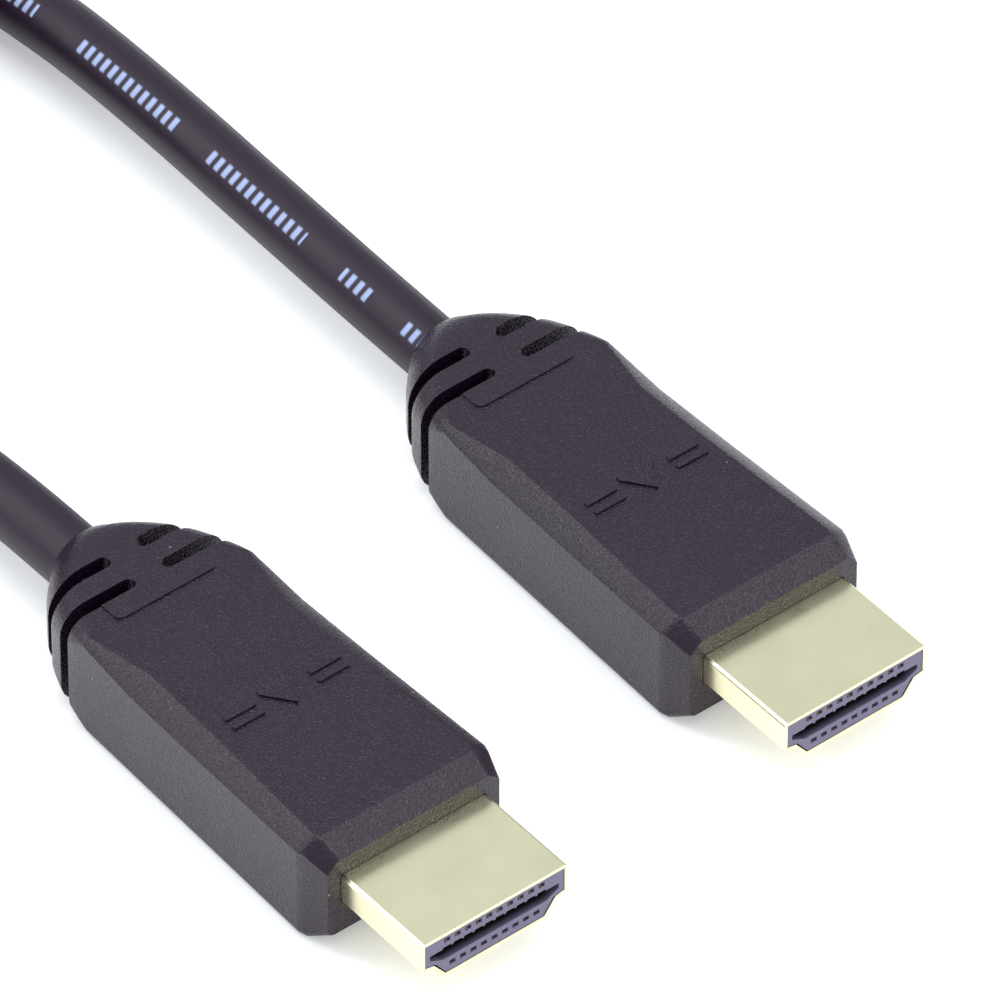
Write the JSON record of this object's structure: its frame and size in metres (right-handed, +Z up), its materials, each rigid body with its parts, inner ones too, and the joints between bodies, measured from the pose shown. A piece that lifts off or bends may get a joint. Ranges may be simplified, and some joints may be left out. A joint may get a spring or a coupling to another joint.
{
  "type": "hdmi cable",
  "caption": "Digital audio and video cable with a moulded plug at each end, gold plated plug shells, slotted strain reliefs and its spare length in a tied round coil.",
  "frame": {"origin": "on the floor, midway between the two plugs and midway along them", "axes": "+X from plug b to plug a across the plugs, +Y from the plug tips towards the cable, +Z up off the floor"},
  "size_m": [0.094, 0.1726, 0.0121],
  "materials": {
    "overmould": "fine grained dark grey moulding",
    "shell": "bright pale gold plating",
    "carrier": "grey plastic",
    "contact": "gold plated",
    "jacket": "semi gloss dark grey jacket",
    "tie": "plain dark band"
  },
  "bodies": {
    "root": {"plug_a_overmould": "overmould", "plug_a_shell": "shell", "plug_a_contact_carrier": "carrier", "plug_a_contact_01": "contact", "plug_a_contact_02": "contact", "plug_a_contact_03": "contact", "plug_a_contact_04": "contact", "plug_a_contact_05": "contact", "plug_a_contact_06": "contact", "plug_a_contact_07": "contact", "plug_a_contact_08": "contact", "plug_a_contact_09": "contact", "plug_a_contact_10": "contact", "plug_a_contact_11": "contact", "plug_a_contact_12": "contact", "plug_a_contact_13": "contact", "plug_a_contact_14": "contact", "plug_a_contact_15": "contact", "plug_a_contact_16": "contact", "plug_a_contact_17": "contact", "plug_a_contact_18": "contact", "plug_a_contact_19": "contact", "plug_b_overmould": "overmould", "plug_b_shell": "shell", "plug_b_contact_carrier": "carrier", "plug_b_contact_01": "contact", "plug_b_contact_02": "contact", "plug_b_contact_03": "contact", "plug_b_contact_04": "contact", "plug_b_contact_05": "contact", "plug_b_contact_06": "contact", "plug_b_contact_07": "contact", "plug_b_contact_08": "contact", "plug_b_contact_09": "contact", "plug_b_contact_10": "contact", "plug_b_contact_11": "contact", "plug_b_contact_12": "contact", "plug_b_contact_13": "contact", "plug_b_contact_14": "contact", "plug_b_contact_15": "contact", "plug_b_contact_16": "contact", "plug_b_contact_17": "contact", "plug_b_contact_18": "contact", "plug_b_contact_19": "contact", "cable_lead_a": "jacket", "cable_lead_b": "jacket", "cable_coil": "jacket", "coil_tie": "tie"}
  },
  "joints": []
}
